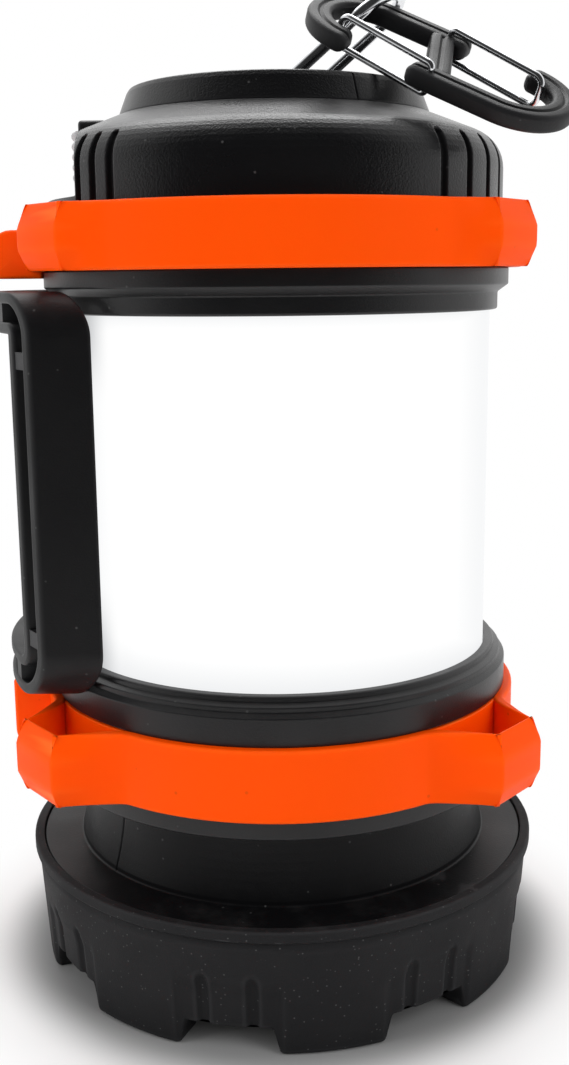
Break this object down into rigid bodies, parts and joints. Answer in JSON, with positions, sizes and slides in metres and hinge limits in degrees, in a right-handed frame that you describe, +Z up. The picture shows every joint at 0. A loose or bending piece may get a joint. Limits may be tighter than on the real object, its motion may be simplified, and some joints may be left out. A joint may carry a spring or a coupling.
{
  "type": "camping lantern",
  "caption": "Round battery lantern with a glowing drum between two bumper rings, a torch head in its base, a fold-out side handle and a wire bail with a double-gated clip.",
  "frame": {"origin": "centre of the level plane that the bezel's teeth stand on, on the lantern's round axis", "axes": "+Z up along the round axis, -Y towards the viewer's side, -X towards the side handle and the switch"},
  "size_m": [0.119, 0.115, 0.2092],
  "materials": {
    "bezel_rubber": "matte",
    "seal_rubber": "matte",
    "black_shell": "satin",
    "black_handle": "fine grain",
    "black_clip": "satin",
    "orange_bumper": "satin",
    "frosted_drum": "frosted, glowing",
    "clear_lens": "polished",
    "mirror_coat": "polished",
    "white_plastic": "satin",
    "lamp": "glowing",
    "circuit_board": "satin",
    "cell_sleeve": "satin",
    "steel": "satin",
    "bright_wire": "polished",
    "grey_pad": "matte"
  },
  "bodies": {
    "lantern": {"rubber_bezel": "bezel_rubber", "torch_shell": "black_shell", "torch_reflector": "mirror_coat", "torch_lens": "clear_lens", "lens_seal": "seal_rubber", "lens_ring": "black_shell", "torch_board": "circuit_board", "torch_lamp": "lamp", "lower_body": "black_shell", "lower_ring": "orange_bumper", "neck_screws": "steel", "cell_tray": "black_shell", "battery_cells": "cell_sleeve", "floor_mirror": "white_plastic", "lower_drum_seal": "seal_rubber", "diffuser": "frosted_drum", "light_column": "white_plastic", "light_board": "white_plastic", "drum_lamps": "lamp", "upper_drum_seal": "seal_rubber", "upper_collar": "black_shell", "upper_ring": "orange_bumper", "main_board": "circuit_board", "charge_socket": "steel", "top_cap": "black_shell", "crown": "black_shell", "bail_saddle": "bright_wire", "saddle_screws": "steel", "switch_housing": "black_shell", "hinge_pin_upper": "steel", "hinge_pin_lower": "steel"},
    "bail": {"bail": "bright_wire"},
    "clip": {"clip_body": "black_clip"},
    "near_gate": {"clip_gate_near": "bright_wire"},
    "far_gate": {"clip_gate_far": "bright_wire"},
    "handle": {"side_handle": "black_handle"},
    "switch": {"switch_pad": "grey_pad"},
    "flap": {"port_flap": "seal_rubber"}
  },
  "joints": [
    {"name": "bail_swing", "type": "hinge", "parent": "lantern", "child": "bail", "pos_m": [0.0037, 0, 0.19], "axis": [0.284, 0.9588, 0], "range_deg": [-104, 0]},
    {"name": "clip_swing", "type": "hinge", "parent": "bail", "child": "clip", "pos_m": [0.01665, -0.0127, 0.20252], "axis": [0.7556, -0.2238, 0.6157], "range_deg": [-45, 0]},
    {"name": "near_gate_press", "type": "hinge", "parent": "clip", "child": "near_gate", "pos_m": [0.02963, -0.03, 0.18799], "axis": [0.2156, -0.5282, 0.8213], "range_deg": [-24, 0], "stiffness_Nm_per_rad": 0.02, "springref_deg": 6.88},
    {"name": "far_gate_press", "type": "hinge", "parent": "clip", "child": "far_gate", "pos_m": [0.03517, -0.0134, 0.19721], "axis": [0.2156, -0.5282, 0.8213], "range_deg": [-24, 0], "stiffness_Nm_per_rad": 0.02, "springref_deg": 6.88},
    {"name": "handle_swing", "type": "hinge", "parent": "lantern", "child": "handle", "pos_m": [-0.03959, 0.0376, 0.1082], "axis": [0, 0, 1], "range_deg": [-110, 0]},
    {"name": "switch_press", "type": "slide", "parent": "lantern", "child": "switch", "axis": [1, 0, 0], "range_m": [0, 0.0007], "stiffness_N_per_m": 500, "springref_m": -0.0004},
    {"name": "flap_open", "type": "hinge", "parent": "lantern", "child": "flap", "pos_m": [0, 0.0453, 0.17025], "axis": [1, 0, 0], "range_deg": [-88, 0]}
  ]
}
